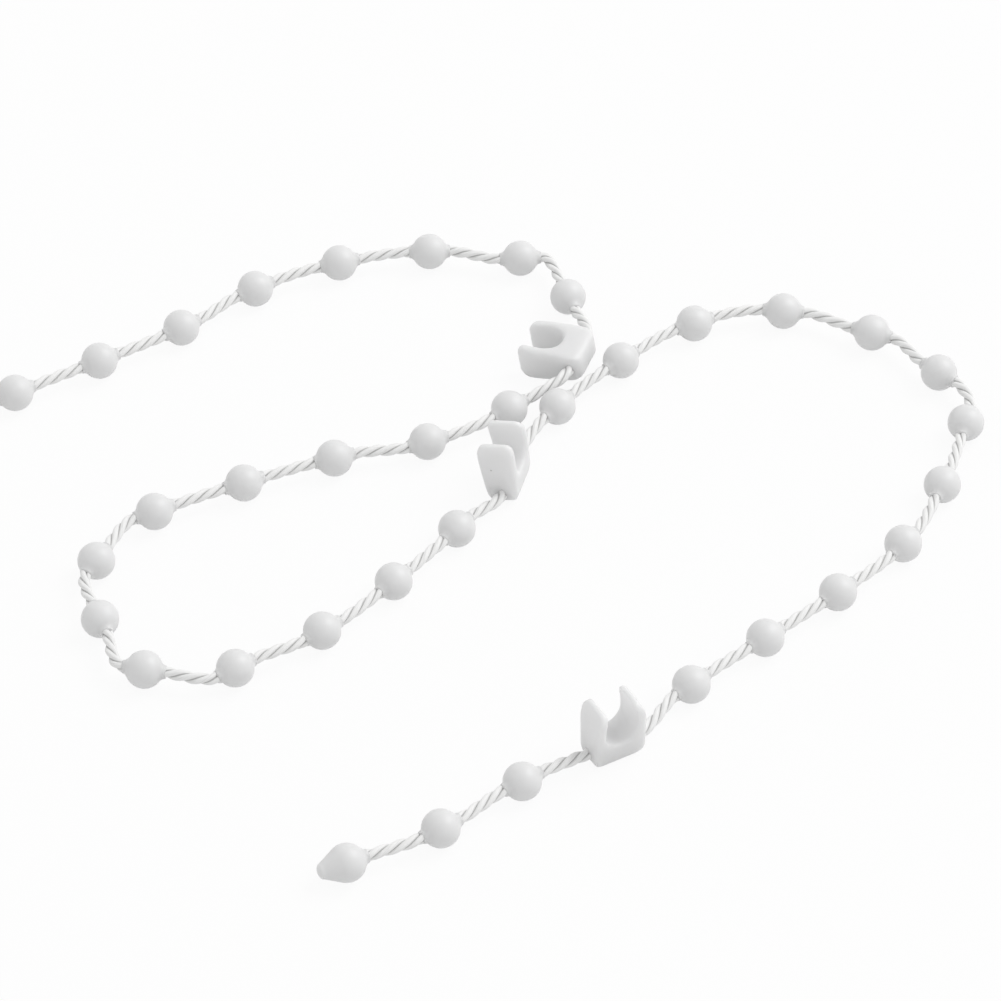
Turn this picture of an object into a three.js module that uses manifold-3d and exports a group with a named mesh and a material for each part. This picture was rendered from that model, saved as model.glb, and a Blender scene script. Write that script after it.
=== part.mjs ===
// A length of moulded bead chain for vertical blinds: a twisted cord with round
// beads and open-jaw slat clips moulded onto it, lying loose on a table.
// Millimetres, +Z up, the table is the plane z = 0.

import * as THREE from 'three';
import { mergeVertices } from 'three/addons/utils/BufferGeometryUtils.js';
import Module from 'manifold-3d';

const wasm = await Module();
wasm.setup();

// Spacing along the cord: bead to bead, bead to clip, and the beads in each run
const BEAD_PITCH = 8.8;
const CLIP_PITCH = 9.45;
const BEAD_RUNS = [8, 12, 12, 3];

// Cord
const CORD_DIAMETER = 1.1;
const CORD_SIDES = 8;
const CORD_TAIL = 0.6;
const CORD_LEAD = 0.3;
const CORD_CLEARANCE = 0.15;

// Beads
const BEAD_DIAMETER = 3.4;
const BEAD_LENGTH = 3.7;
const COLLAR_WALL = 0.15;
const COLLAR_FLARE = 0.15;
const BEAD_SIDES = 12;
const BEAD_ARC_STEPS = 6;

// Slat clips: X runs along the cord, Z towards the jaw tips, Y is the thickness
const CLIP_WIDTH = 5;
const CLIP_HEIGHT = 6.5;
const CLIP_THICKNESS = 3.5;
const CLIP_FOOT = 1.6;
const CLIP_BELLY = 3;
const CLIP_BELLY_HEIGHT = 1.7;
const CLIP_SHOULDER_HEIGHT = 4.3;
const CLIP_CORNER_RADIUS = 1;
const CLIP_FOOT_RADIUS = 1.2;
const CLIP_PLAN_RADIUS = 0.5;
const CLIP_FLOOR = 0.5;
const SEAT_DIAMETER = 3.2;
const SEAT_HEIGHT = 4.1;
const MOUTH_WIDTH = 2.7;
const TIP_THICKNESS = 0.58;
const CURVE_STEPS = 7;
const CORD_HOLE_SIDES = 16;

// Where the chain lies: points on the table, joined by one smooth curve
const ROUTE = [
  [-44.1, 19.6], [-29.1, 28.8], [-22.2, 34.5], [-14.5, 38.2], [-5.6, 39.9],
  [1.5, 38.9], [6, 38.6], [7.4, 33.3], [9.1, 28.9], [8.2, 24.3],
  [1.8, 17.4], [-5.7, 12.9], [-14.1, 10.7], [-30, 3.7], [-34.3, 1],
  [-35, -2.5], [-37, -6.5], [-34.4, -10.2], [-33.2, -15.6], [-29.5, -16.7],
  [-25.3, -18.2], [-21.6, -16], [-14.3, -11.4], [-3, 1.2], [1.7, 8.4],
  [5.9, 17.2], [19.1, 29.3], [27.6, 31.2], [35.7, 28.2], [40.1, 26.2],
  [41.6, 22.8], [45.2, 19.7], [44.1, 16], [41.4, 7.6], [37.2, -0.6],
  [17.6, -18.4], [10.6, -25.1], [2.4, -30.3], [-4.6, -35.8], [-12.4, -39.6],
];

// How each clip lies: slid along the cord, turned about the vertical, and rolled about the cord
const CLIP_POSES = [
  { slide: 0, turn: 7, roll: 99 },
  { slide: -0.8, turn: 13, roll: -10 },
  { slide: 0.2, turn: -9, roll: 0 },
];

const BEAD_COLOUR = 0xe8e9ec;
const CORD_COLOUR = 0xf1f0ec;

// Sizes that follow from the ones above
const CORD_RADIUS = CORD_DIAMETER / 2;
const HOLE_RADIUS = CORD_RADIUS + CORD_CLEARANCE;
const HOLE_HEIGHT = HOLE_RADIUS + CLIP_FLOOR;
const BEAD_RADIUS = BEAD_DIAMETER / 2;
const ROUTE_DIVISIONS = 4000;

const plastic = new THREE.MeshStandardMaterial({
  color: BEAD_COLOUR,
  roughness: 0.45,
  metalness: 0,
});
const yarn = new THREE.MeshStandardMaterial({
  color: CORD_COLOUR,
  roughness: 0.8,
  metalness: 0,
});

// Solid and geometry conversion for the cuts

function toSolid(geometry) {
  const bare = geometry.clone();
  bare.deleteAttribute('normal');
  bare.deleteAttribute('uv');
  const merged = mergeVertices(bare);
  const mesh = new wasm.Mesh({
    numProp: 3,
    vertProperties: new Float32Array(merged.attributes.position.array),
    triVerts: new Uint32Array(merged.index.array),
  });
  return new wasm.Manifold(mesh);
}

function toGeometry(solid) {
  const mesh = solid.getMesh();
  const geometry = new THREE.BufferGeometry();
  geometry.setAttribute('position', new THREE.BufferAttribute(mesh.vertProperties, 3));
  geometry.setIndex(new THREE.BufferAttribute(mesh.triVerts, 1));
  geometry.computeVertexNormals();
  return geometry;
}

function extrude(shape, depth) {
  return new THREE.ExtrudeGeometry(shape, {
    depth,
    bevelEnabled: false,
    curveSegments: CURVE_STEPS,
  });
}

// Bead: a ball with a short collar round the cord at each end

function beadGeometry() {
  const half = BEAD_LENGTH / 2;
  const collarEnd = HOLE_RADIUS + COLLAR_WALL;
  const collarRoot = collarEnd + COLLAR_FLARE;
  const rootAngle = Math.asin(collarRoot / BEAD_RADIUS);
  const profile = [new THREE.Vector2(HOLE_RADIUS, -half), new THREE.Vector2(collarEnd, -half)];
  for (let step = 0; step <= BEAD_ARC_STEPS; step += 1) {
    const share = step / BEAD_ARC_STEPS;
    const angle = THREE.MathUtils.lerp(Math.PI - rootAngle, rootAngle, share);
    const radius = BEAD_RADIUS * Math.sin(angle);
    profile.push(new THREE.Vector2(radius, BEAD_RADIUS * Math.cos(angle)));
  }
  profile.push(new THREE.Vector2(collarEnd, half));
  profile.push(new THREE.Vector2(HOLE_RADIUS, half));
  profile.push(profile[0].clone());
  const geometry = new THREE.LatheGeometry(profile, BEAD_SIDES);
  return geometry.rotateZ(-Math.PI / 2);
}

// Clip: a U of two jaws over a foot that the cord passes through

function clipSideShape() {
  const halfWidth = CLIP_WIDTH / 2;
  const tipRadius = TIP_THICKNESS / 2;
  const tipCentre = MOUTH_WIDTH / 2 + tipRadius;
  const tipHeight = CLIP_HEIGHT - tipRadius;
  const seatRadius = SEAT_DIAMETER / 2;
  const bend = (SEAT_HEIGHT + tipHeight) / 2;
  const shape = new THREE.Shape();
  shape.moveTo(CLIP_FOOT_RADIUS - halfWidth, 0);
  shape.lineTo(halfWidth - CLIP_FOOT_RADIUS, 0);
  shape.quadraticCurveTo(halfWidth, 0, halfWidth, CLIP_FOOT_RADIUS);
  shape.lineTo(halfWidth, SEAT_HEIGHT);
  shape.quadraticCurveTo(halfWidth, bend, tipCentre + tipRadius, tipHeight);
  shape.absarc(tipCentre, tipHeight, tipRadius, 0, Math.PI, false);
  shape.quadraticCurveTo(seatRadius, bend, seatRadius, SEAT_HEIGHT);
  shape.absarc(0, SEAT_HEIGHT, seatRadius, 0, -Math.PI, true);
  shape.quadraticCurveTo(-seatRadius, bend, tipRadius - tipCentre, tipHeight);
  shape.absarc(-tipCentre, tipHeight, tipRadius, 0, Math.PI, false);
  shape.quadraticCurveTo(-halfWidth, bend, -halfWidth, SEAT_HEIGHT);
  shape.lineTo(-halfWidth, CLIP_FOOT_RADIUS);
  shape.quadraticCurveTo(-halfWidth, 0, CLIP_FOOT_RADIUS - halfWidth, 0);
  return shape;
}

function clipFrontShape() {
  const foot = CLIP_FOOT / 2;
  const half = CLIP_THICKNESS / 2;
  const belly = CLIP_BELLY / 2;
  const corner = CLIP_CORNER_RADIUS;
  const shape = new THREE.Shape();
  shape.moveTo(-foot, 0);
  shape.lineTo(foot, 0);
  shape.bezierCurveTo(belly, 0, belly, CLIP_BELLY_HEIGHT, half, CLIP_SHOULDER_HEIGHT);
  shape.lineTo(half, CLIP_HEIGHT - corner);
  shape.absarc(half - corner, CLIP_HEIGHT - corner, corner, 0, Math.PI / 2, false);
  shape.lineTo(corner - half, CLIP_HEIGHT);
  shape.absarc(corner - half, CLIP_HEIGHT - corner, corner, Math.PI / 2, Math.PI, false);
  shape.lineTo(-half, CLIP_SHOULDER_HEIGHT);
  shape.bezierCurveTo(-belly, CLIP_BELLY_HEIGHT, -belly, 0, -foot, 0);
  return shape;
}

function clipPlanShape() {
  const halfWidth = CLIP_WIDTH / 2;
  const half = CLIP_THICKNESS / 2;
  const radius = CLIP_PLAN_RADIUS;
  const inX = halfWidth - radius;
  const inY = half - radius;
  const shape = new THREE.Shape();
  shape.moveTo(-inX, -half);
  shape.lineTo(inX, -half);
  shape.absarc(inX, -inY, radius, -Math.PI / 2, 0, false);
  shape.lineTo(halfWidth, inY);
  shape.absarc(inX, inY, radius, 0, Math.PI / 2, false);
  shape.lineTo(-inX, half);
  shape.absarc(-inX, inY, radius, Math.PI / 2, Math.PI, false);
  shape.lineTo(-halfWidth, -inY);
  shape.absarc(-inX, -inY, radius, Math.PI, 1.5 * Math.PI, false);
  return shape;
}

function clipGeometry() {
  const along = new THREE.Vector3(1, 0, 0);
  const across = new THREE.Vector3(0, 1, 0);
  const up = new THREE.Vector3(0, 0, 1);
  const side = extrude(clipSideShape(), CLIP_THICKNESS)
    .applyMatrix4(new THREE.Matrix4().makeBasis(along, up, across.clone().negate()))
    .translate(0, CLIP_THICKNESS / 2, 0);
  const front = extrude(clipFrontShape(), CLIP_WIDTH)
    .applyMatrix4(new THREE.Matrix4().makeBasis(across, up, along))
    .translate(-CLIP_WIDTH / 2, 0, 0);
  const hole = new THREE.CylinderGeometry(
    HOLE_RADIUS,
    HOLE_RADIUS,
    CLIP_WIDTH * 2,
    CORD_HOLE_SIDES,
  );
  hole.rotateZ(Math.PI / 2).translate(0, 0, HOLE_HEIGHT);
  const plan = toSolid(extrude(clipPlanShape(), CLIP_HEIGHT));
  const block = toSolid(front).intersect(plan);
  const solid = toSolid(side).intersect(block).subtract(toSolid(hole));
  return toGeometry(solid).translate(0, 0, -HOLE_HEIGHT);
}

// Stations: where each bead and clip sits along the route

const route = new THREE.CatmullRomCurve3(
  ROUTE.map(([x, y]) => new THREE.Vector3(x, y, 0)),
  false,
  'centripetal',
);
route.arcLengthDivisions = ROUTE_DIVISIONS;

function routeAt(distance) {
  const length = route.getLength();
  const inside = THREE.MathUtils.clamp(distance, 0, length);
  const heading = route.getTangentAt(inside / length);
  const point = route.getPointAt(inside / length).addScaledVector(heading, distance - inside);
  return { point, heading };
}

function restHeight(geometry, roll) {
  const turned = geometry.clone().rotateX(roll);
  turned.computeBoundingBox();
  return -turned.boundingBox.min.z;
}

function beadStation(distance) {
  const { point, heading } = routeAt(distance);
  point.z = BEAD_RADIUS;
  return { kind: 'bead', point, heading, roll: 0, reach: BEAD_LENGTH / 2 };
}

function clipStation(distance, pose, geometry) {
  const { point, heading } = routeAt(distance + pose.slide);
  const roll = THREE.MathUtils.degToRad(pose.roll);
  heading.applyAxisAngle(new THREE.Vector3(0, 0, 1), THREE.MathUtils.degToRad(pose.turn));
  point.z = restHeight(geometry, roll);
  return { kind: 'clip', point, heading, roll, reach: CLIP_WIDTH / 2 };
}

function layStations(geometry) {
  const stations = [];
  let distance = 0;
  BEAD_RUNS.forEach((count, run) => {
    if (run > 0) {
      distance += CLIP_PITCH;
      stations.push(clipStation(distance, CLIP_POSES[run - 1], geometry));
      distance += CLIP_PITCH;
    }
    for (let bead = 0; bead < count; bead += 1) {
      stations.push(beadStation(distance + bead * BEAD_PITCH));
    }
    distance += (count - 1) * BEAD_PITCH;
  });
  return stations;
}

// Cord: straight through every bead and clip, and straight between them

class CordPath extends THREE.Curve {
  constructor(points) {
    super();
    this.points = points;
  }

  getPoint(share) {
    const place = share * (this.points.length - 1);
    const index = Math.min(Math.floor(place), this.points.length - 2);
    return this.points[index].clone().lerp(this.points[index + 1], place - index);
  }

  getPointAt(share) {
    return this.getPoint(share);
  }

  getTangentAt(share) {
    const index = Math.round(share * (this.points.length - 1));
    const before = this.points[Math.max(index - 1, 0)];
    const here = this.points[index];
    const after = this.points[Math.min(index + 1, this.points.length - 1)];
    const arriving = here.clone().sub(before).normalize();
    const leaving = after.clone().sub(here).normalize();
    return arriving.add(leaving).normalize();
  }
}

function cordGeometry(stations) {
  const points = stations.flatMap(({ point, heading, reach }, index) => {
    const back = index === 0 ? CORD_TAIL : CORD_LEAD;
    const ahead = index === stations.length - 1 ? CORD_TAIL : CORD_LEAD;
    return [
      point.clone().addScaledVector(heading, -reach - back),
      point.clone().addScaledVector(heading, reach + ahead),
    ];
  });
  const corners = [];
  for (let side = 0; side < CORD_SIDES; side += 1) {
    const angle = (2 * Math.PI * side) / CORD_SIDES;
    corners.push(new THREE.Vector2(Math.cos(angle), Math.sin(angle)).multiplyScalar(CORD_RADIUS));
  }
  return new THREE.ExtrudeGeometry(new THREE.Shape(corners), {
    steps: points.length - 1,
    extrudePath: new CordPath(points),
  });
}

// Assembly

function addPiece(group, name, geometry, material) {
  const mesh = new THREE.Mesh(geometry, material);
  mesh.name = name;
  group.add(mesh);
  return mesh;
}

function placeAt(mesh, { point, heading, roll }) {
  mesh.rotation.order = 'ZYX';
  mesh.position.copy(point);
  mesh.rotation.z = Math.atan2(heading.y, heading.x);
  mesh.rotation.x = roll;
}

function buildChain() {
  const group = new THREE.Group();
  const bead = beadGeometry();
  const clip = clipGeometry();
  const stations = layStations(clip);
  const counts = { bead: 0, clip: 0 };
  addPiece(group, 'cord', cordGeometry(stations), yarn);
  for (const station of stations) {
    counts[station.kind] += 1;
    const name = `${station.kind}_${String(counts[station.kind]).padStart(2, '0')}`;
    const geometry = station.kind === 'bead' ? bead : clip;
    placeAt(addPiece(group, name, geometry, plastic), station);
  }
  return group;
}

export default buildChain();
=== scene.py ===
"""Looks of a loose length of vertical blind bottom chain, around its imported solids."""

from __future__ import annotations

import bisect
import logging
import math
from dataclasses import dataclass, field
from enum import Enum
from typing import ClassVar

import bmesh
import bpy
from mathutils import Matrix, Vector

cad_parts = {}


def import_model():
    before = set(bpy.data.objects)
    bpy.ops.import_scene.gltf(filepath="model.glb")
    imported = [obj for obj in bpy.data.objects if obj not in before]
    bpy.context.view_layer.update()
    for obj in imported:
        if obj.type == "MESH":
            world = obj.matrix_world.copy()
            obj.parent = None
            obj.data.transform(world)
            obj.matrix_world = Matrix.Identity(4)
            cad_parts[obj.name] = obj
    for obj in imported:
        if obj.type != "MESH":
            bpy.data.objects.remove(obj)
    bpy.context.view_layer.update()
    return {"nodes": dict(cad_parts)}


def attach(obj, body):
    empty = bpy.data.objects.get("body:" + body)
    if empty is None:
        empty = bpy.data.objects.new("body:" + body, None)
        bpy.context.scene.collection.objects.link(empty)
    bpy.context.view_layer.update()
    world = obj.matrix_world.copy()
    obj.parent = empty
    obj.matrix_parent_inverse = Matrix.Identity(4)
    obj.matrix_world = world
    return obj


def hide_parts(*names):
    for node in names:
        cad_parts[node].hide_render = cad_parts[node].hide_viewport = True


Colour = tuple[float, float, float, float]
Outline = list[tuple[float, float]]

LOG = logging.getLogger("blind_chain")
MM = 0.001
WELD = 0.001 * MM
WHITE: Colour = (1, 1, 1, 1)
NOISE_MIDDLE = 0.5
IMAGE_PIXELS = 1001

# Points on the table that the chain's smooth line runs through, in metres
ROUTE = [
    (-0.0441, 0.0196), (-0.0291, 0.0288), (-0.0222, 0.0345), (-0.0145, 0.0382),
    (-0.0056, 0.0399), (0.0015, 0.0389), (0.006, 0.0386), (0.0074, 0.0333),
    (0.0091, 0.0289), (0.0082, 0.0243), (0.0018, 0.0174), (-0.0057, 0.0129),
    (-0.0141, 0.0107), (-0.03, 0.0037), (-0.0343, 0.001), (-0.035, -0.0025),
    (-0.037, -0.0065), (-0.0344, -0.0102), (-0.0332, -0.0156), (-0.0295, -0.0167),
    (-0.0253, -0.0182), (-0.0216, -0.016), (-0.0143, -0.0114), (-0.003, 0.0012),
    (0.0017, 0.0084), (0.0059, 0.0172), (0.0191, 0.0293), (0.0276, 0.0312),
    (0.0357, 0.0282), (0.0401, 0.0262), (0.0416, 0.0228), (0.0452, 0.0197),
    (0.0441, 0.016), (0.0414, 0.0076), (0.0372, -0.0006), (0.0176, -0.0184),
    (0.0106, -0.0251), (0.0024, -0.0303), (-0.0046, -0.0358), (-0.0124, -0.0396),
]


class Kind(Enum):
    """What is moulded on the cord at one place."""

    BEAD = "bead"
    CLIP = "clip"


class Slot(Enum):
    """Material slots of the record."""

    PLASTIC = "plastic"
    YARN = "yarn"


@dataclass(frozen=True)
class ClipPose:
    """How one clip lies on the table.

    Args:
        slide: metres along the cord from its even place.
        turn: degrees about the vertical from the cord's own heading.
        roll: degrees about the cord.
        lift: height of the cord hole above the table, in metres.
    """

    slide: float
    turn: float
    roll: float
    lift: float


@dataclass(frozen=True)
class Station:
    """One moulded piece on the cord, with the straight stretch of cord inside it.

    Args:
        kind: bead or clip.
        point: middle of the cord inside the piece.
        heading: unit direction of the cord there.
        roll: degrees about the cord.
        reach: metres from the middle to either end of the piece.
    """

    kind: Kind
    point: Vector
    heading: Vector
    roll: float
    reach: float

    def matrix(self) -> Matrix:
        """Turn and place of the piece, whose own X runs along the cord."""
        turn = Matrix.Rotation(math.atan2(self.heading.y, self.heading.x), 4, "Z")
        roll = Matrix.Rotation(math.radians(self.roll), 4, "X")
        return Matrix.Translation(self.point) @ turn @ roll

    def end(self, side: int) -> Vector:
        """Where the cord leaves the piece, at its back (-1) or front (1)."""
        return self.point + self.heading * (side * self.reach)


class Route:
    """A centripetal Catmull-Rom line through the table points, read by length."""

    DIVISIONS: ClassVar[int] = 4000
    NUDGE: ClassVar[float] = 0.0001

    def __init__(self, points: list[tuple[float, float]]) -> None:
        """Lays out the line and its table of lengths.

        Args:
            points: places on the table, in metres.
        """
        self.points = [Vector((x, y, 0)) for x, y in points]
        self.lengths = [0.0]
        before = self.point_at_share(0)
        for step in range(1, self.DIVISIONS + 1):
            here = self.point_at_share(step / self.DIVISIONS)
            self.lengths.append(self.lengths[-1] + (here - before).length)
            before = here

    def _corners(self, index: int) -> list[Vector]:
        """The four points that shape one stretch of the line.

        Args:
            index: number of the point that the stretch starts from.

        Returns:
            The point before, the two ends and the point after; past either end of the
            line the missing point is mirrored.
        """
        points = self.points
        start, stop = points[index], points[index + 1]
        before = points[index - 1] if index > 0 else start * 2 - points[1]
        last = len(points) - 1
        after = points[index + 2] if index + 2 <= last else stop * 2 - points[last - 1]
        return [before, start, stop, after]

    def point_at_share(self, share: float) -> Vector:
        """Point at a share of the line's own parameter.

        Args:
            share: from 0 to 1.

        Returns:
            The point on the table.
        """
        spans = len(self.points) - 1
        place = min(max(share, 0.0), 1.0) * spans
        index = min(int(place), spans - 1)
        t = place - index
        before, start, stop, after = self._corners(index)
        first = math.sqrt((start - before).length)
        middle = math.sqrt((stop - start).length)
        third = math.sqrt((after - stop).length)
        leave = ((start - before) / first - (stop - before) / (first + middle)
                 + (stop - start) / middle) * middle
        reach = ((stop - start) / middle - (after - start) / (middle + third)
                 + (after - stop) / third) * middle
        cubic = (start - stop) * 2 + leave + reach
        square = (stop - start) * 3 - leave * 2 - reach
        return start + leave * t + square * t * t + cubic * t * t * t

    def at(self, distance: float) -> tuple[Vector, Vector]:
        """Point and heading at a distance along the line.

        Args:
            distance: metres from the first point; past either end it runs straight on.

        Returns:
            The point, and the unit heading.
        """
        inside = min(max(distance, 0.0), self.lengths[-1])
        index = min(bisect.bisect_right(self.lengths, inside) - 1, self.DIVISIONS - 1)
        low, high = self.lengths[index], self.lengths[index + 1]
        share = (index + (inside - low) / (high - low)) / self.DIVISIONS
        ahead = self.point_at_share(share + self.NUDGE)
        behind = self.point_at_share(share - self.NUDGE)
        heading = (ahead - behind).normalized()
        return self.point_at_share(share) + heading * (distance - inside), heading


@dataclass
class ChainPlan:
    """The order of the pieces along the cord, and where each one lies."""

    bead_pitch: float = 8.8 * MM
    clip_pitch: float = 9.45 * MM
    runs: tuple[int, ...] = (8, 12, 12, 3)
    bead_radius: float = 1.7 * MM
    bead_reach: float = 1.85 * MM
    clip_reach: float = 2.5 * MM
    clip_poses: tuple[ClipPose, ...] = (
        ClipPose(slide=0.0, turn=7, roll=99, lift=2.41 * MM),
        ClipPose(slide=-0.8 * MM, turn=13, roll=-10, lift=1.32 * MM),
        ClipPose(slide=0.2 * MM, turn=-9, roll=0, lift=1.2 * MM),
    )
    route: Route = field(default_factory=lambda: Route(ROUTE))

    def _bead(self, distance: float) -> Station:
        """A bead that lies on the table.

        Args:
            distance: metres along the line.

        Returns:
            Its station.
        """
        point, heading = self.route.at(distance)
        point.z = self.bead_radius
        return Station(Kind.BEAD, point, heading, 0.0, self.bead_reach)

    def _clip(self, distance: float, pose: ClipPose) -> Station:
        """A clip in its own pose.

        Args:
            distance: metres along the line of its even place.
            pose: how it lies.

        Returns:
            Its station.
        """
        point, heading = self.route.at(distance + pose.slide)
        point.z = pose.lift
        heading = Matrix.Rotation(math.radians(pose.turn), 3, "Z") @ heading
        return Station(Kind.CLIP, point, heading, pose.roll, self.clip_reach)

    def stations(self) -> list[Station]:
        """Every piece in order along the cord.

        Returns:
            The stations, beads and clips together.
        """
        found: list[Station] = []
        distance = 0.0
        for run, count in enumerate(self.runs):
            if run:
                distance += self.clip_pitch
                found.append(self._clip(distance, self.clip_poses[run - 1]))
                distance += self.clip_pitch
            for bead in range(count):
                found.append(self._bead(distance + bead * self.bead_pitch))
            distance += (count - 1) * self.bead_pitch
        return found


class Reading:
    """A socket that gives one number, used in Python sums that add Math nodes."""

    def __init__(self, tree: bpy.types.NodeTree, output: bpy.types.NodeSocket) -> None:
        """Wraps an output of a node.

        Args:
            tree: the node tree that new nodes go to.
            output: the socket.
        """
        self.tree = tree
        self.output = output

    def _math(self, operation: str, other: Reading | float) -> Reading:
        """Adds a Math node that takes this reading first.

        Args:
            operation: the node's operation.
            other: its second input.

        Returns:
            The node's result.
        """
        node = self.tree.nodes.new("ShaderNodeMath")
        node.operation = operation
        self.tree.links.new(self.output, node.inputs[0])
        if isinstance(other, Reading):
            self.tree.links.new(other.output, node.inputs[1])
        else:
            node.inputs[1].default_value = other
        return Reading(self.tree, node.outputs[0])

    def __add__(self, other: Reading | float) -> Reading:
        """Sum."""
        return self._math("ADD", other)

    __radd__ = __add__

    def __sub__(self, other: Reading | float) -> Reading:
        """Difference."""
        return self._math("SUBTRACT", other)

    def __mul__(self, other: Reading | float) -> Reading:
        """Product."""
        return self._math("MULTIPLY", other)

    def folded(self, span: float) -> Reading:
        """The reading going up to a span and back down again."""
        return self._math("PINGPONG", span)


class Palette:
    """The node tree of one material or world, filled through one method."""

    MIX_FACTOR: ClassVar[int] = 0
    MIX_LOW: ClassVar[int] = 6
    MIX_HIGH: ClassVar[int] = 7
    MIX_RESULT: ClassVar[int] = 2

    def __init__(self, owner: bpy.types.ID) -> None:
        """Empties the owner's node tree.

        Args:
            owner: a material or a world.
        """
        owner.use_nodes = True
        self.tree = owner.node_tree
        self.tree.nodes.clear()

    def node(
        self, kind: str, settings: dict[str, object], sockets: dict[str | int, object]
    ) -> bpy.types.Node:
        """Adds a node.

        Args:
            kind: the node's type.
            settings: its own settings, set first; stops fills a colour ramp.
            sockets: values or links for its inputs, by name or number.

        Returns:
            The new node.
        """
        node = self.tree.nodes.new(kind)
        for name, value in settings.items():
            if name == "stops":
                self._fill_ramp(node, value)
            else:
                setattr(node, name, value)
        for name, value in sockets.items():
            if isinstance(value, Reading):
                self.tree.links.new(value.output, node.inputs[name])
            elif isinstance(value, bpy.types.NodeSocket):
                self.tree.links.new(value, node.inputs[name])
            else:
                node.inputs[name].default_value = value
        return node

    @staticmethod
    def _fill_ramp(node: bpy.types.Node, stops: list[tuple[float, Colour]]) -> None:
        """Sets the stops of a colour ramp.

        Args:
            node: the ramp.
            stops: positions and their colours, at least two.
        """
        elements = node.color_ramp.elements
        while len(elements) < len(stops):
            elements.new(1.0)
        for element, (position, colour) in zip(elements, stops):
            element.position = position
            element.color = colour

    def reading(self, node: bpy.types.Node, name: str) -> Reading:
        """One of a node's outputs as a number."""
        return Reading(self.tree, node.outputs[name])

    def blend(
        self, factor: Reading, low: Colour | bpy.types.NodeSocket,
        high: Colour | bpy.types.NodeSocket,
    ) -> bpy.types.NodeSocket:
        """Colour between two colours.

        Args:
            factor: how far from low to high.
            low: colour, or a colour's socket, at 0.
            high: colour, or a colour's socket, at 1.

        Returns:
            The colour's socket.
        """
        sockets = {self.MIX_FACTOR: factor, self.MIX_LOW: low, self.MIX_HIGH: high}
        mix = self.node("ShaderNodeMix", {"data_type": "RGBA"}, sockets)
        return mix.outputs[self.MIX_RESULT]


@dataclass(frozen=True)
class PlasticFinish:
    """Satin moulded plastic with some light inside it.

    Args:
        name: the material's name.
        colour: its lightest colour.
        shade: its darkest colour, in soft clouds.
        glow: how much of the light goes through it.
        glow_depth: how far that light gets, in metres.
    """

    name: str
    colour: Colour
    shade: Colour
    glow: float
    glow_depth: float = 1.2 * MM
    glow_spread: tuple[float, float, float] = (1.0, 1.0, 1.0)
    roughness: float = 0.38
    roughness_spread: float = 0.16
    cloud_scale: float = 420.0
    cloud_detail: float = 3.0
    cloud_roughness: float = 0.55
    grain_scale: float = 3800.0
    grain_detail: float = 2.0
    grain_strength: float = 0.6
    grain_height: float = 0.004 * MM

    def material(self) -> bpy.types.Material:
        """Builds the finish.

        Returns:
            The new material.
        """
        material = bpy.data.materials.new(self.name)
        palette = Palette(material)
        place = palette.node("ShaderNodeTexCoord", {}, {}).outputs["Object"]
        cloud = palette.node(
            "ShaderNodeTexNoise", {},
            {
                "Vector": place,
                "Scale": self.cloud_scale,
                "Detail": self.cloud_detail,
                "Roughness": self.cloud_roughness,
            },
        )
        grain = palette.node(
            "ShaderNodeTexNoise", {},
            {"Vector": place, "Scale": self.grain_scale, "Detail": self.grain_detail},
        )
        clouds = palette.reading(cloud, "Fac")
        bump = palette.node(
            "ShaderNodeBump", {},
            {
                "Height": palette.reading(grain, "Fac"),
                "Strength": self.grain_strength,
                "Distance": self.grain_height,
            },
        )
        shader = palette.node(
            "ShaderNodeBsdfPrincipled", {},
            {
                "Base Color": palette.blend(clouds, self.shade, self.colour),
                "Roughness": self.roughness + (clouds - NOISE_MIDDLE) * self.roughness_spread,
                "Normal": bump.outputs["Normal"],
                "Subsurface Weight": self.glow,
                "Subsurface Scale": self.glow_depth,
                "Subsurface Radius": self.glow_spread,
            },
        )
        palette.node("ShaderNodeOutputMaterial", {}, {"Surface": shader.outputs["BSDF"]})
        return material


BEAD_PLASTIC = PlasticFinish(
    name="white_moulded_plastic",
    colour=(0.765, 0.765, 0.768, 1),
    shade=(0.738, 0.738, 0.736, 1),
    glow=0.6,
)
CLIP_PLASTIC = PlasticFinish(
    name="white_jaw_plastic",
    colour=(0.762, 0.762, 0.765, 1),
    shade=(0.739, 0.739, 0.738, 1),
    glow=0.85,
    glow_depth=2.4 * MM,
)
# Painted shade of the shallow gate dimple on each clip, a flat dark grey.
PAINTED_DIMPLE_SHADE = PlasticFinish(
    name="painted_dimple_shade",
    colour=(0.54, 0.54, 0.54, 1),
    shade=(0.48, 0.48, 0.48, 1),
    glow=0.0,
)


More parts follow.
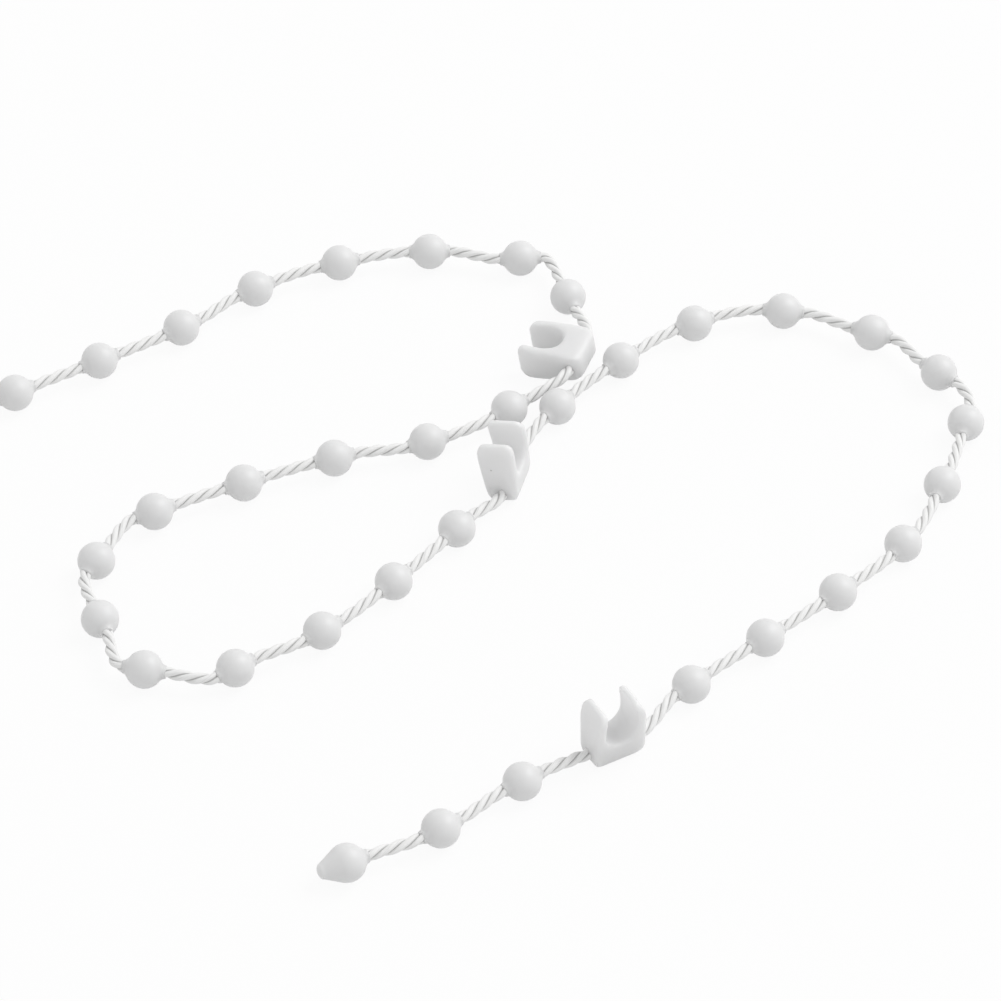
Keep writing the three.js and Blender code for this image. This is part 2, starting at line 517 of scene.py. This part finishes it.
@dataclass(frozen=True)
class YarnFinish:
    """White twisted synthetic yarn with fine fibres along each strand, and painted shade where
    the strands meet.

    Args:
        light: colour of the lightest fibres.
        dark: colour of the darkest fibres.
        crease_shade: colour of the painted shade where the strands meet.
        crease_shade_start: share round a strand, from its outside, where the painted shade
            begins.
        crease_shade_end: share round a strand where the painted shade is complete.
    """

    name: str = "white_twisted_yarn"
    light: Colour = (0.90, 0.90, 0.895, 1)
    dark: Colour = (0.79, 0.79, 0.785, 1)
    light_from: float = 0.55
    dark_to: float = 0.3
    # Painted shade: a darker colour laid where the strands meet.
    crease_shade: Colour = (0.50, 0.50, 0.495, 1)
    crease_shade_start: float = 0.22
    crease_shade_end: float = 0.31
    half_round: float = 0.5
    roughness: float = 0.62
    roughness_spread: float = 0.2
    fibres_round: float = 16.0
    fibres_along: float = 0.9
    fibre_detail: float = 3.0
    fibre_roughness: float = 0.6
    fibre_strength: float = 0.8
    fibre_height: float = 0.02 * MM
    sheen: float = 0.25

    def material(self) -> bpy.types.Material:
        """Builds the finish.

        Returns:
            The new material.
        """
        material = bpy.data.materials.new(self.name)
        palette = Palette(material)
        place = palette.node("ShaderNodeTexCoord", {}, {}).outputs["UV"]
        fibres = self._fibres(palette, place)
        ramp = palette.node(
            "ShaderNodeValToRGB",
            {"stops": [(self.dark_to, self.dark), (self.light_from, self.light)]},
            {"Fac": fibres},
        )
        bump = palette.node(
            "ShaderNodeBump", {},
            {
                "Height": fibres,
                "Strength": self.fibre_strength,
                "Distance": self.fibre_height,
            },
        )
        # Painted shade: the base colour darkens where the strands meet.
        crease_shade_amount = self._crease_shade_mask(palette, place)
        shader = palette.node(
            "ShaderNodeBsdfPrincipled", {},
            {
                "Base Color": palette.blend(crease_shade_amount, ramp.outputs["Color"], self.crease_shade),
                "Roughness": self.roughness + (fibres - NOISE_MIDDLE) * self.roughness_spread,
                "Normal": bump.outputs["Normal"],
                "Sheen Weight": self.sheen,
            },
        )
        palette.node("ShaderNodeOutputMaterial", {}, {"Surface": shader.outputs["BSDF"]})
        return material

    def _fibres(self, palette: Palette, place: bpy.types.NodeSocket) -> Reading:
        """Fine streaks that run along a strand.

        Args:
            palette: the material's nodes.
            place: coordinates along and round the strand.

        Returns:
            The streaks, from 0 to 1.
        """
        stretched = palette.node(
            "ShaderNodeMapping", {},
            {"Vector": place, "Scale": (self.fibres_along, self.fibres_round, 1.0)},
        )
        fibre = palette.node(
            "ShaderNodeTexNoise", {},
            {
                "Vector": stretched.outputs[0],
                "Scale": 1.0,
                "Detail": self.fibre_detail,
                "Roughness": self.fibre_roughness,
            },
        )
        return palette.reading(fibre, "Fac")

    def _crease_shade_mask(self, palette: Palette, place: bpy.types.NodeSocket) -> Reading:
        """How deep a place on a strand lies between its neighbours, which sets its painted
        shade.

        Args:
            palette: the material's nodes.
            place: coordinates along and round the strand.

        Returns:
            0 on the open side of the strand, 1 where it lies deepest between its neighbours,
            in full painted shade.
        """
        parts = palette.node("ShaderNodeSeparateXYZ", {}, {"Vector": place})
        inward = palette.node(
            "ShaderNodeMapRange", {},
            {
                "Value": palette.reading(parts, "Y").folded(self.half_round),
                "From Min": self.crease_shade_start,
                "From Max": self.crease_shade_end,
            },
        )
        return palette.reading(inward, "Result")


def add_piece(
    name: str, shape: bmesh.types.BMesh, material: bpy.types.Material
) -> bpy.types.Object:
    """Makes a smooth-shaded object from a finished shape.

    Args:
        name: the piece's name.
        shape: its mesh, in place; it is freed.
        material: its finish.

    Returns:
        The new object, at the origin.
    """
    mesh = bpy.data.meshes.new(name)
    shape.to_mesh(mesh)
    shape.free()
    mesh.materials.append(material)
    for face in mesh.polygons:
        face.use_smooth = True
    piece = bpy.data.objects.new(name, mesh)
    bpy.context.scene.collection.objects.link(piece)
    return piece


def enrol(piece: bpy.types.Object, slot: Slot, *nodes: str) -> None:
    """Puts a piece on the chain's body, in place of its solids.

    Args:
        piece: the piece.
        slot: its material slot; not used.
        nodes: the solids that it takes the place of, if any.
    """
    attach(piece, "root")
    if nodes:
        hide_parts(*nodes)
    LOG.info("%s: %d faces", piece.name, len(piece.data.polygons))


def spun(outline: Outline, steps: int) -> bmesh.types.BMesh:
    """Turns an outline round the X axis.

    Args:
        outline: places as (along, out), in order; it is closed for the turn unless both
            its ends are on the axis.
        steps: how many sides the round shape has.

    Returns:
        The shape, with its faces outward.
    """
    shape = bmesh.new()
    verts = [shape.verts.new((along, 0, out)) for along, out in outline]
    edges = [shape.edges.new(pair) for pair in zip(verts, verts[1:])]
    if outline[0][1] or outline[-1][1]:
        edges.append(shape.edges.new((verts[-1], verts[0])))
    bmesh.ops.spin(
        shape, geom=verts + edges, cent=(0, 0, 0), axis=(1, 0, 0), dvec=(0, 0, 0),
        angle=math.tau, steps=steps, use_merge=True,
    )
    bmesh.ops.remove_doubles(shape, verts=shape.verts, dist=WELD)
    bmesh.ops.recalc_face_normals(shape, faces=shape.faces)
    return shape


@dataclass
class TwistedCord:
    """A cord of three strands that runs through every bead and clip.

    Args:
        diameter: across the cord; not used.
        strand_radius: radius of one strand.
        strand_centre: from the cord's middle to a strand's middle.
        lay: length of cord in which a strand goes round once.
        tail: bare cord past the first and last bead.
        step: between two rings of a strand.
        sides: corners of each ring.
        span_steps: points on each bend between two pieces.
        bend: how firmly the cord keeps its heading as it leaves a piece.
        path_stride: rings between two points of a thinned copy of the centreline.
    """

    diameter: float = 1.1 * MM
    strand_radius: float = 0.285 * MM
    strand_centre: float = 0.265 * MM
    strands: int = 3
    lay: float = 4.6 * MM
    tail: float = 0.45 * MM
    step: float = 0.2 * MM
    sides: int = 10
    span_steps: int = 24
    bend: float = 0.85
    path_stride: int = 3

    def centreline(self, stations: list[Station]) -> list[Vector]:
        """Line of the cord: straight in the pieces and smoothly bent between them.

        Args:
            stations: the pieces in order.

        Returns:
            Points along the line, evenly spaced.
        """
        rough = [stations[0].end(-1) - stations[0].heading * self.tail]
        for before, after in zip(stations, stations[1:]):
            start, stop = before.end(1), after.end(-1)
            pull = (stop - start).length * self.bend
            rough.append(before.end(-1))
            for index in range(self.span_steps + 1):
                rough.append(self._between(start, before.heading * pull,
                                           stop, after.heading * pull,
                                           index / self.span_steps))
        rough.append(stations[-1].end(1) + stations[-1].heading * self.tail)
        return self._evenly(rough)

    @staticmethod
    def _between(start: Vector, leave: Vector, stop: Vector, arrive: Vector,
                 share: float) -> Vector:
        """Point on the smooth bend between two pieces.

        Args:
            start: where the bend starts.
            leave: its pull there.
            stop: where the bend stops.
            arrive: its pull there.
            share: from 0 at the start to 1 at the stop.

        Returns:
            The point.
        """
        square, cube = share * share, share * share * share
        return (start * (2 * cube - 3 * square + 1) + leave * (cube - 2 * square + share)
                + stop * (3 * square - 2 * cube) + arrive * (cube - square))

    def _evenly(self, rough: list[Vector]) -> list[Vector]:
        """The same line with points one step apart.

        Args:
            rough: points along the line, unevenly spaced.

        Returns:
            The evenly spaced points.
        """
        lengths = [0.0]
        for before, here in zip(rough, rough[1:]):
            lengths.append(lengths[-1] + (here - before).length)
        count = math.ceil(lengths[-1] / self.step)
        points, index = [], 0
        for number in range(count + 1):
            want = lengths[-1] * number / count
            while index < len(rough) - 2 and lengths[index + 1] < want:
                index += 1
            gap = lengths[index + 1] - lengths[index]
            share = (want - lengths[index]) / gap if gap > 0 else 0.0
            points.append(rough[index].lerp(rough[index + 1], share))
        return points

    @staticmethod
    def _cross_axes(line: list[Vector]) -> list[tuple[Vector, Vector]]:
        """Untwisted axes across the line.

        Args:
            line: the cord's centreline.

        Returns:
            The side and up directions at each of its points.
        """
        axes = []
        side = Vector((0, 0, 1)).cross(line[1] - line[0]).normalized()
        for index, _ in enumerate(line):
            before = line[max(index - 1, 0)]
            after = line[min(index + 1, len(line) - 1)]
            forward = (after - before).normalized()
            side = (side - forward * side.dot(forward)).normalized()
            axes.append((side, forward.cross(side)))
        return axes

    def _ring(self, shape: bmesh.types.BMesh, point: Vector,
              axes: tuple[Vector, Vector], turn: float) -> list[bmesh.types.BMVert]:
        """Adds one ring of a strand.

        Args:
            shape: the mesh that is filled.
            point: the cord's middle.
            axes: the side and up directions there.
            turn: where round the cord the strand is, in radians.

        Returns:
            The ring's corners, the first one farthest from the cord's middle.
        """
        side, up = axes
        outward = side * math.cos(turn) + up * math.sin(turn)
        centre = point + outward * self.strand_centre
        ring = []
        for corner in range(self.sides):
            angle = turn + math.tau * corner / self.sides
            spoke = side * math.cos(angle) + up * math.sin(angle)
            ring.append(shape.verts.new(centre + spoke * self.strand_radius))
        return ring

    def _strand(self, shape: bmesh.types.BMesh, line: list[Vector],
                axes: list[tuple[Vector, Vector]], phase: float) -> None:
        """Adds one strand that winds round the line.

        Args:
            shape: the mesh that is filled.
            line: the cord's centreline.
            axes: the side and up directions along it.
            phase: where round the cord the strand starts, in radians.
        """
        layer = shape.loops.layers.uv.verify()
        rings = []
        for index, (point, across) in enumerate(zip(line, axes)):
            turn = phase - math.tau * index * self.step / self.lay
            rings.append(self._ring(shape, point, across, turn))
        for index, (near, far) in enumerate(zip(rings, rings[1:])):
            for corner in range(self.sides):
                other = (corner + 1) % self.sides
                face = shape.faces.new((near[corner], near[other], far[other], far[corner]))
                places = ((index, corner), (index, corner + 1),
                          (index + 1, corner + 1), (index + 1, corner))
                for loop, (along, around) in zip(face.loops, places):
                    loop[layer].uv = (along * self.step / MM + phase, around / self.sides)
        shape.faces.new(list(reversed(rings[0])))
        shape.faces.new(rings[-1])

    def build(self, stations: list[Station], material: bpy.types.Material) -> bpy.types.Object:
        """Args:
            stations: the pieces in order.
            material: the yarn.

        Returns:
            The cord's object.
        """
        line = self.centreline(stations)
        axes = self._cross_axes(line)
        shape = bmesh.new()
        for strand in range(self.strands):
            self._strand(shape, line, axes, math.tau * strand / self.strands)
        piece = add_piece("twisted_cord", shape, material)
        enrol(piece, Slot.YARN, "cord")
        length = sum((after - before).length for before, after in zip(line, line[1:]))
        path = line[::self.path_stride] + line[-1:]
        return piece


@dataclass
class RoundBead:
    """A ball with a flared collar round the cord at each end.

    Args:
        radius: the ball's radius.
        reach: from the middle to the end of a collar.
        bore: radius of the hole, which is within the cord.
        collar_end: radius of a collar at its end.
        collar_root: radius of a collar where it leaves the ball.
        lip: length of the rounded edge at a collar's end.
        lip_cut: share of the lip that its rounding takes off.
    """

    radius: float = 1.7 * MM
    reach: float = 1.97 * MM
    bore: float = 0.25 * MM
    collar_end: float = 0.61 * MM
    collar_root: float = 1.06 * MM
    lip: float = 0.1 * MM
    lip_cut: float = 0.3
    arc_steps: int = 11
    flare_steps: int = 6
    spin_steps: int = 40

    def _arc(self, last: float) -> Outline:
        """The ball's outline from its middle to an angle, as (along, out)."""
        angles = [last * step / self.arc_steps for step in range(self.arc_steps + 1)]
        return [(self.radius * math.sin(a), self.radius * math.cos(a)) for a in angles]

    def _half_profile(self) -> Outline:
        """Outline from the ball's middle to the collar's bore.

        Returns:
            Places as (along, out).
        """
        root_along = math.sqrt(self.radius**2 - self.collar_root**2)
        outline = self._arc(math.asin(root_along / self.radius))
        end_along = self.reach - self.lip
        for step in range(1, self.flare_steps + 1):
            share = step / self.flare_steps
            drop = 1 - (1 - share) ** 2
            outline.append((root_along + (end_along - root_along) * share,
                            self.collar_root + (self.collar_end - self.collar_root) * drop))
        cut = self.lip * self.lip_cut
        outline.append((self.reach - cut, self.collar_end - cut))
        outline.append((self.reach, self.collar_end - self.lip))
        outline.append((self.reach, self.bore))
        return outline

    def shape(self) -> bmesh.types.BMesh:
        """Spins the outline round the cord's line.

        Returns:
            The bead about the origin, its hole along X.
        """
        half = self._half_profile()
        outline = [(-along, out) for along, out in reversed(half[1:])] + half
        return spun(outline, self.spin_steps)

    def build(self, number: int, station: Station,
              material: bpy.types.Material) -> bpy.types.Object:
        """Makes one bead in its place.

        Args:
            number: its number along the cord.
            station: where it lies.
            material: its finish.

        Returns:
            The bead's object.
        """
        shape = self.shape()
        bmesh.ops.transform(shape, matrix=station.matrix(), verts=shape.verts)
        piece = add_piece(f"round_bead_{number:02d}", shape, material)
        enrol(piece, Slot.PLASTIC, f"bead_{number:02d}")
        return piece


@dataclass
class EndBead(RoundBead):
    """The last bead, drawn out in front into a nub that seals the cord's cut end.

    Args:
        shoulder: from the ball's middle to where the nub rounds off.
        shoulder_radius: the nub's radius there.
        rounding: length of the nub's round tip.
    """

    shoulder: float = 2.3 * MM
    shoulder_radius: float = 0.7 * MM
    rounding: float = 0.35 * MM
    taper_steps: int = 8
    tip_steps: int = 8

    def _drawn_profile(self) -> Outline:
        """Outline from the ball's middle, along its tangent, to the nub's round tip.

        Returns:
            Places as (along, out), the last one on the axis.
        """
        span = math.hypot(self.shoulder, self.shoulder_radius)
        lean = math.atan2(self.shoulder_radius, self.shoulder) + math.acos(self.radius / span)
        outline = self._arc(math.pi / 2 - lean)
        along, out = outline[-1]
        for step in range(1, self.taper_steps):
            share = step / self.taper_steps
            outline.append((along + (self.shoulder - along) * share,
                            out + (self.shoulder_radius - out) * share))
        for step in range(self.tip_steps):
            angle = math.pi / 2 * step / self.tip_steps
            outline.append((self.shoulder + self.rounding * math.sin(angle),
                            self.shoulder_radius * math.cos(angle)))
        outline.append((self.shoulder + self.rounding, 0.0))
        return outline

    def shape(self) -> bmesh.types.BMesh:
        """Spins the plain half and the drawn half round the cord's line.

        Returns:
            The bead about the origin, its nub along +X.
        """
        plain = self._half_profile()
        outline = [(self.radius, 0.0), (self.radius, self.bore)]
        outline += [(-along, out) for along, out in reversed(plain[1:])]
        outline += self._drawn_profile()
        return spun(outline, self.spin_steps)


@dataclass
class GateMark:
    """The small gate mark that the mould leaves on one end face of a clip, a shallow dimple
    drawn as a low bump in painted shade.

    Args:
        radius: the scar's radius.
        height: how far it stands off the face.
        place: its middle in the clip's own frame.
    """

    radius: float = 0.09 * MM
    height: float = 0.03 * MM
    place: tuple[float, float, float] = (-2.5 * MM, 0.5 * MM, 2.9 * MM)
    fineness: int = 2

    def build(self, number: int, station: Station,
              material: bpy.types.Material) -> bpy.types.Object:
        """Makes the mark on one clip.

        Args:
            number: the clip's number along the cord.
            station: where the clip lies.
            material: the dark grey of its painted shade.

        Returns:
            The mark's object.
        """
        shape = bmesh.new()
        flat = Matrix.Diagonal((self.height, self.radius, self.radius, 1))
        bmesh.ops.create_icosphere(
            shape, subdivisions=self.fineness, radius=1,
            matrix=station.matrix() @ Matrix.Translation(self.place) @ flat,
        )
        piece = add_piece(f"gate_mark_{number}", shape, material)
        enrol(piece, Slot.PLASTIC)
        return piece


@dataclass
class SlatClip:
    """A clip of two jaws over a foot, with soft moulded edges.

    Args:
        voxel: grain of the fine skin that is smoothed.
        smoothing: smoothing steps over the whole clip.
        rounding: further smoothing steps on its body.
        round_below: height over the cord up to which the body is rounded in full.
        crisp_above: height over the cord from which it isn't.
        grip_radius: radius of the plastic that fills the hole.
        grip_length: length of the plastic that fills the hole.
    """

    BODY: ClassVar[str] = "body"
    SMOOTHING_FACTOR: ClassVar[float] = 0.5
    voxel: float = 0.09 * MM
    smoothing: int = 24
    rounding: int = 60
    round_below: float = 2.4 * MM
    crisp_above: float = 4.8 * MM
    grip_radius: float = 0.74 * MM
    grip_length: float = 4.9 * MM
    grip_sides: int = 32

    def _grip(self, shape: bmesh.types.BMesh, station: Station) -> None:
        """Fills the hole, so that the plastic closes on the cord.

        Args:
            shape: the clip's mesh, in place.
            station: where the clip lies.
        """
        along = Matrix.Rotation(math.pi / 2, 4, "Y")
        bmesh.ops.create_cone(
            shape, cap_ends=True, segments=self.grip_sides, radius1=self.grip_radius,
            radius2=self.grip_radius, depth=self.grip_length,
            matrix=station.matrix() @ along,
        )

    def build(self, number: int, solid: bpy.types.Object, station: Station,
              material: bpy.types.Material) -> bpy.types.Object:
        """Rounds off the clip's solid.

        Args:
            number: its number along the cord.
            solid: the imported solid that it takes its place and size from.
            station: where the cord runs through it.
            material: its finish.

        Returns:
            The clip's object.
        """
        shape = bmesh.new()
        shape.from_mesh(solid.data)
        bmesh.ops.remove_doubles(shape, verts=shape.verts, dist=WELD)
        self._grip(shape, station)
        piece = add_piece(f"slat_clip_{number}", shape, material)
        remesh = piece.modifiers.new("fine_skin", "REMESH")
        remesh.mode = "VOXEL"
        remesh.voxel_size = self.voxel
        self._settle(piece)
        self._mark_body(piece, station)
        self._soften(piece, "soft_edges", self.smoothing, "")
        self._soften(piece, "round_body", self.rounding, self.BODY)
        self._settle(piece)
        piece.vertex_groups.clear()
        enrol(piece, Slot.PLASTIC, f"clip_{number:02d}")
        return piece

    def _mark_body(self, piece: bpy.types.Object, station: Station) -> None:
        """Weights the body in full and the jaw tips not at all.

        Args:
            piece: the clip.
            station: where the cord runs through it.
        """
        group = piece.vertex_groups.new(name=self.BODY)
        inward = station.matrix().inverted()
        for vert in piece.data.vertices:
            above = (inward @ vert.co).z - self.round_below
            share = 1 - above / (self.crisp_above - self.round_below)
            group.add([vert.index], min(max(share, 0.0), 1.0), "REPLACE")

    def _soften(self, piece: bpy.types.Object, name: str, steps: int, group: str) -> None:
        """Adds smoothing to a clip.

        Args:
            piece: the clip.
            name: the modifier's name.
            steps: how many times it is smoothed.
            group: the vertex group that it keeps to, or nothing for the whole clip.
        """
        soften = piece.modifiers.new(name, "SMOOTH")
        soften.iterations = steps
        soften.factor = self.SMOOTHING_FACTOR
        soften.vertex_group = group

    @staticmethod
    def _settle(piece: bpy.types.Object) -> None:
        """Applies a clip's modifiers to its mesh.

        Args:
            piece: the clip.
        """
        graph = bpy.context.evaluated_depsgraph_get()
        mesh = bpy.data.meshes.new_from_object(piece.evaluated_get(graph))
        piece.modifiers.clear()
        piece.data = mesh
        for face in mesh.polygons:
            face.use_smooth = True


@dataclass
class Studio:
    """The photograph's camera, a pale table and soft light.

    Args:
        target: the point on the table that the camera looks at.
        distance: from that point to the camera.
        elevation: the camera's height over the table, in degrees.
        focal_pixels: focal length in pixels of the photograph.
        sensor: the camera's sensor width, in millimetres.
        near: nearest distance that the camera sees.
        far: farthest distance that the camera sees.
        table_size: the table's width.
        table_colour: the table's own colour.
        table_glow: share of plain white in what is seen of the table.
        key_power: the lamp's power in watts.
        key_size: the lamp's diameter.
        key_place: where the lamp hangs.
        sky_strength: light from all round.
    """

    target: Vector = field(default_factory=lambda: Vector((1.0, 6.8, 0)) * MM)
    distance: float = 434.1 * MM
    elevation: float = 43.24
    focal_pixels: float = 4760.5
    sensor: float = 36.0
    near: float = 0.02
    far: float = 20.0
    table_size: float = 4.0
    table_colour: Colour = (0.85, 0.85, 0.85, 1)
    table_glow: float = 0.92
    key_power: float = 6.5
    key_size: float = 0.9
    key_place: tuple[float, float, float] = (0.75, 0.35, 0.95)
    sky_strength: float = 0.72

    def camera(self) -> None:
        """Places the photograph's camera and makes it the scene's."""
        data = bpy.data.cameras.new("photo_camera")
        data.sensor_width = self.sensor
        data.lens = self.focal_pixels / IMAGE_PIXELS * self.sensor
        data.clip_start = self.near
        data.clip_end = self.far
        camera = bpy.data.objects.new("photo_camera", data)
        angle = math.radians(self.elevation)
        back = Vector((0, -math.cos(angle), math.sin(angle)))
        camera.location = self.target + back * self.distance
        camera.rotation_euler = (math.pi / 2 - angle, 0, 0)
        bpy.context.scene.collection.objects.link(camera)
        bpy.context.scene.camera = camera

    @staticmethod
    def _seen(palette: Palette) -> Reading:
        """Tells the rays that show the background from those that light the chain.

        Args:
            palette: the nodes that it is added to.

        Returns:
            1 for rays from the camera, a reflection or a clear piece, otherwise 0.
        """
        rays = palette.node("ShaderNodeLightPath", {}, {})
        kinds = ("Is Camera Ray", "Is Glossy Ray", "Is Transmission Ray")
        camera, glossy, through = (palette.reading(rays, kind) for kind in kinds)
        return camera + glossy + through

    def table(self) -> None:
        """Lays the pale table, which looks white and keeps a faint shadow."""
        shape = bmesh.new()
        bmesh.ops.create_grid(shape, x_segments=1, y_segments=1, size=self.table_size / 2)
        material = bpy.data.materials.new("pale_table")
        palette = Palette(material)
        matte = palette.node("ShaderNodeBsdfDiffuse", {}, {"Color": self.table_colour})
        white = palette.node("ShaderNodeEmission", {}, {"Color": WHITE, "Strength": 1.0})
        seen = self._seen(palette) * self.table_glow
        mix = palette.node(
            "ShaderNodeMixShader", {}, {0: seen, 1: matte.outputs[0], 2: white.outputs[0]}
        )
        palette.node("ShaderNodeOutputMaterial", {}, {"Surface": mix.outputs[0]})
        table = add_piece("pale_table", shape, material)

    def lamp(self) -> None:
        """Hangs one broad lamp that faces the chain."""
        data = bpy.data.lights.new("broad_lamp", "AREA")
        data.shape = "DISK"
        data.size = self.key_size
        data.energy = self.key_power
        lamp = bpy.data.objects.new("broad_lamp", data)
        lamp.location = self.key_place
        toward = -Vector(self.key_place)
        lamp.rotation_euler = toward.to_track_quat("-Z", "Y").to_euler()
        bpy.context.scene.collection.objects.link(lamp)

    def sky(self) -> None:
        """Adds even light from all round, which looks white."""
        world = bpy.data.worlds.new("even_sky")
        bpy.context.scene.world = world
        palette = Palette(world)
        strength = self.sky_strength + self._seen(palette) * (1 - self.sky_strength)
        sky = palette.node("ShaderNodeBackground", {}, {"Color": WHITE, "Strength": strength})
        palette.node("ShaderNodeOutputWorld", {}, {"Surface": sky.outputs[0]})


def build_chain(solids: dict[str, bpy.types.Object]) -> None:
    """Builds the cord, then the beads and the clips in their order along it.

    Args:
        solids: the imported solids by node.
    """
    stations = ChainPlan().stations()
    beads = [station for station in stations if station.kind is Kind.BEAD]
    clips = [station for station in stations if station.kind is Kind.CLIP]
    TwistedCord().build(stations, YarnFinish().material())
    bead_plastic = BEAD_PLASTIC.material()
    for number, station in enumerate(beads, 1):
        bead = EndBead() if number == len(beads) else RoundBead()
        bead.build(number, station, bead_plastic)
    clip_plastic = CLIP_PLASTIC.material()
    # Painted shade for the gate dimples.
    painted_dimple_shade = PAINTED_DIMPLE_SHADE.material()
    for number, station in enumerate(clips, 1):
        SlatClip().build(number, solids[f"clip_{number:02d}"], station, clip_plastic)
        GateMark().build(number, station, painted_dimple_shade)


def main() -> None:
    """Builds the chain and its studio."""
    logging.basicConfig(level=logging.INFO, format="%(name)s %(message)s")
    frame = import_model()
    bpy.context.scene.view_settings.view_transform = "Standard"
    studio = Studio()
    studio.camera()
    build_chain(frame["nodes"])
    studio.table()
    studio.lamp()
    studio.sky()


if __name__ == "__main__":
    main()
